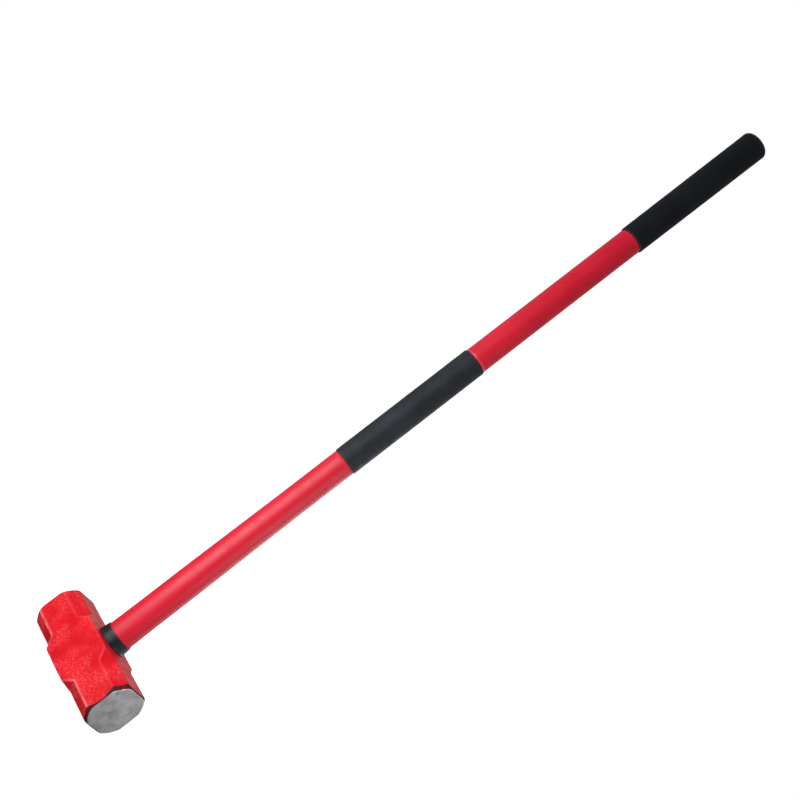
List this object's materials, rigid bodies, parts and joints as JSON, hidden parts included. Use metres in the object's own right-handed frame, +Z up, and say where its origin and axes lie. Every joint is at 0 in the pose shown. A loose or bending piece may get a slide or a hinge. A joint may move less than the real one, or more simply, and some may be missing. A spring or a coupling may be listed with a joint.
{
  "type": "sledgehammer",
  "caption": "Long-handled sledgehammer: forged head with octagonal ends and flat striking faces, red sleeved handle, black rubber grips and a neck collar.",
  "frame": {"origin": "on the handle's axis, at the underside of the head, which the hammer stands on", "axes": "+Z up the handle from the head to the grip's end, +X along the head towards one striking face, -Y out of one cheek"},
  "size_m": [0.146, 0.052, 0.9],
  "materials": {
    "head_paint": "red enamel over forged steel, worn at the edges, bare ground striking faces",
    "sleeve_red": "satin",
    "collar_rubber": "satin",
    "grip_rubber": "matte, fine grained",
    "tube_steel": "drawn",
    "plug_steel": "turned",
    "black_nylon": "matte"
  },
  "bodies": {
    "root": {"hammer_head": "head_paint", "handle_tube": "tube_steel", "eye_bush": "black_nylon", "lock_plug": "plug_steel", "handle_sleeve": "sleeve_red", "neck_collar": "collar_rubber", "mid_grip": "grip_rubber", "rear_grip": "grip_rubber", "butt_plug": "black_nylon"}
  },
  "joints": []
}
